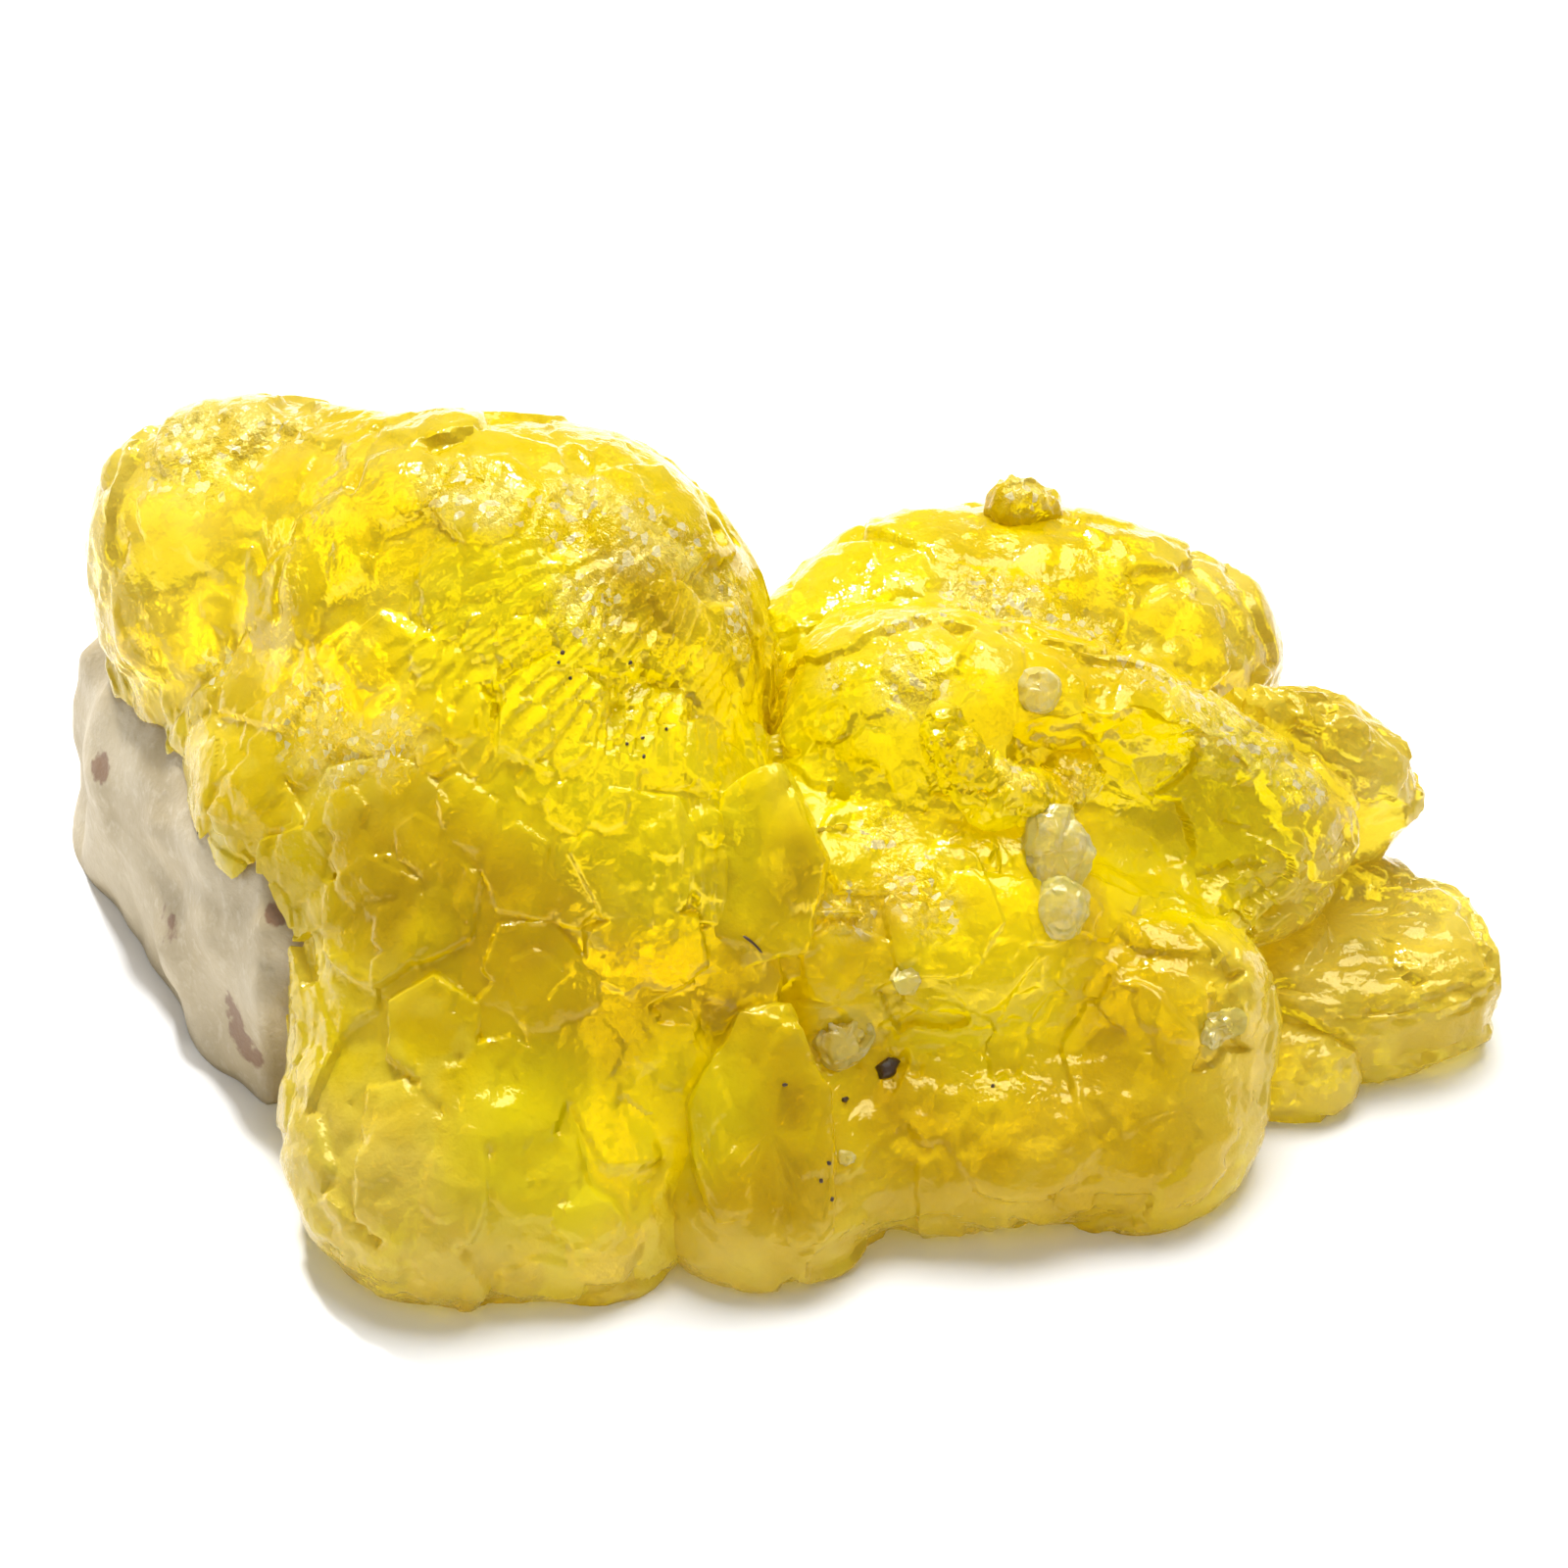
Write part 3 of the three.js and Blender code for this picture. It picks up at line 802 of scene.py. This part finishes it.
# ---------------------------------------------------------------------------------------------
# The clear knobs. Small colourless crystals, cloudy inside, that grew last and sit half sunk in
# the yellow ones, the largest at the end of the ledge.
# ---------------------------------------------------------------------------------------------
KNOBS = [
    ((1078, 870), (1.9, 2.5, 1.4)),
    ((1085, 925), (1.2, 1.7, 0.9)),
    ((860, 1060), (1.5, 1.5, 0.8)),
    ((1240, 1050), (1.1, 1.2, 0.8)),
    ((925, 998), (0.8, 0.8, 0.5)),
    ((865, 1183), (0.42, 0.42, 0.42)),
    ((1060, 705), (0.7, 0.7, 0.3)),
]


def together(parts):
    """The points and faces of several parts as one list of each."""
    starts = np.cumsum([0] + [len(points) for points, _ in parts[:-1]])
    points = np.concatenate([points for points, _ in parts])
    faces = np.concatenate([faces + start for (_, faces), start in zip(parts, starts)])
    return points, faces


knob_places = seen([pixel for pixel, _ in KNOBS], body)
knob_parts = [
    form(at=spot, size=size, turn=(50, 0, 10), edge=0.45, flat=0.95, swell=0.1, fineness=14)
    for spot, (_, size) in zip(knob_places, KNOBS)
]
knobs = closed_object("clear_knobs", *together(knob_parts))
knob_mesh = bake(knobs)
knob_mesh.shade_smooth()
knob_mesh.set_sharp_from_angle(angle=SHARP)
clear_yellow = rgb(1.0, 0.88, 0.2)
cloud_white = rgb(1.0, 0.95, 0.5)
clear, clear_out, place = new_material("clear_crystal")
mm = place.node("ShaderNodeVectorMath", {0: place, 3: PER_METRE}, operation="SCALE")
cloudy = noise(mm, 1.6, 4.0, 0.6).over(0.48, 0.7)
bump = place.node("ShaderNodeBump", {"Height": noise(mm, 4.0), "Distance": 0.0001, "Strength": 0.4})
shader = place.node(
    "ShaderNodeBsdfPrincipled",
    {
        "Base Color": cloudy.mixed(clear_yellow, cloud_white),
        "Roughness": 0.05 + 0.2 * cloudy,
        "IOR": brucite_ior,
        "Transmission Weight": 0.65,
        "Normal": bump,
    },
)
place.tree.links.new(shader.socket, clear_out.inputs["Surface"])
knob_mesh.materials.clear()
knob_mesh.materials.append(clear)
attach(knobs, "root")

# ---------------------------------------------------------------------------------------------
# The dark grains and the fibre. One black mineral grain, a few specks of it on the skin, and a
# short dark fibre that has settled on the plates.
# ---------------------------------------------------------------------------------------------
GRAIN_PIXELS = [
    (905, 1090, 0.8), (862, 1122, 0.24), (801, 1107, 0.16), (846, 1187, 0.16), (838, 1205, 0.14),
    (849, 1224, 0.14), (574, 666, 0.16), (570, 676, 0.12), (582, 692, 0.12), (643, 676, 0.14),
    (656, 753, 0.12), (640, 759, 0.12), (680, 744, 0.12), (657, 772, 0.14), (1013, 1108, 0.14),
]
grain_places = seen([grain[:2] for grain in GRAIN_PIXELS], body)
grain_parts = [
    form(
        at=spot, size=(wide, 0.75 * wide, 0.8 * wide), turn=(40, 20 * number, 35), edge=0.7, corners=5,
        flat=0.8, phase=number, swell=0.12, relieved=0.0, fineness=20,
    )
    for number, (spot, (_, _, wide)) in enumerate(zip(grain_places, GRAIN_PIXELS))
]
FIBRE_PIXELS = [(758, 955), (764, 959), (771, 965), (778, 973)]
FIBRE_RADII = [0.035, 0.04, 0.035, 0.03]
fibre = tube(seen(FIBRE_PIXELS, body) + [0, -0.04, 0.04], FIBRE_RADII, 8, 8)
grains = closed_object("dark_grains", *together([*grain_parts, fibre]))
grain_mesh = bake(grains)
grain_mesh.shade_smooth()
nearly_black = rgb(0.012, 0.006, 0.003)
dark_brown = rgb(0.09, 0.045, 0.015)
dark, dark_out, place = new_material("dark_mineral")
mm = place.node("ShaderNodeVectorMath", {0: place, 3: PER_METRE}, operation="SCALE")
bump = place.node("ShaderNodeBump", {"Height": noise(mm, 8.0), "Distance": 0.0001, "Strength": 0.5})
colour = noise(mm, 5.0).mixed(nearly_black, dark_brown)
shader = place.node("ShaderNodeBsdfPrincipled", {"Base Color": colour, "Roughness": 0.35, "Normal": bump})
place.tree.links.new(shader.socket, dark_out.inputs["Surface"])
grain_mesh.materials.clear()
grain_mesh.materials.append(dark)
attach(grains, "root")

# ---------------------------------------------------------------------------------------------
# The host rock: one pale, waxy, grey-beige piece that the crystals grew on, spotted brown. The
# left wall hangs over it, and it fills the pocket there but for a thin gap.
# ---------------------------------------------------------------------------------------------
rock = closed_object("host_rock_body", *form(**HOST_ROCK))
rock_mesh = carved(rock, "DIFFERENCE", [closed_object("ground", ground_points, ground_faces)])
rock_mesh.shade_smooth()
SPOT_PIXELS = [
    (103, 782, 0.7), (172, 950, 0.8), (283, 932, 0.6), (240, 1043, 1.0), (255, 1070, 0.9), (165, 935, 0.5)
]
marked(rock_mesh, [spots_on(rock, SPOT_PIXELS)])
rock_beige = rgb(0.53, 0.44, 0.28)
rock_shade = rgb(0.44, 0.35, 0.2)
rock_light = rgb(0.6, 0.52, 0.36)
spot_brown = rgb(0.2, 0.09, 0.04)
pale, pale_out, place = new_material("pale_rock")
mm = place.node("ShaderNodeVectorMath", {0: place, 3: PER_METRE}, operation="SCALE")
spotted = split(place.node("ShaderNodeAttribute", attribute_name="marks"))[0]
soft = noise(mm, 0.3, 4.0, 0.6)
fine = noise(mm, 2.5, 4.0, 0.6)
colour = soft.over(0.35, 0.65).mixed(rock_beige, rock_shade)
colour = (0.5 * fine.over(0.5, 0.7)).mixed(colour, rock_light)
spot = (spotted + 1.6 * (fine - 0.5)).over(0.35, 0.8) * spotted.over(0.02, 0.3)
colour = (0.8 * spot).mixed(colour, spot_brown)
pitted = fine + 0.4 * noise(mm, 7.0)
bump = mm.node("ShaderNodeBump", {"Height": pitted, "Distance": 0.0001, "Strength": 0.5})
shader = place.node(
    "ShaderNodeBsdfPrincipled", {"Base Color": colour, "Roughness": 0.4 + 0.2 * soft, "Normal": bump}
)
place.tree.links.new(shader.socket, pale_out.inputs["Surface"])
rock_mesh.materials.clear()
rock_mesh.materials.append(pale)
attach(rock, "root")
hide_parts("host_rock")
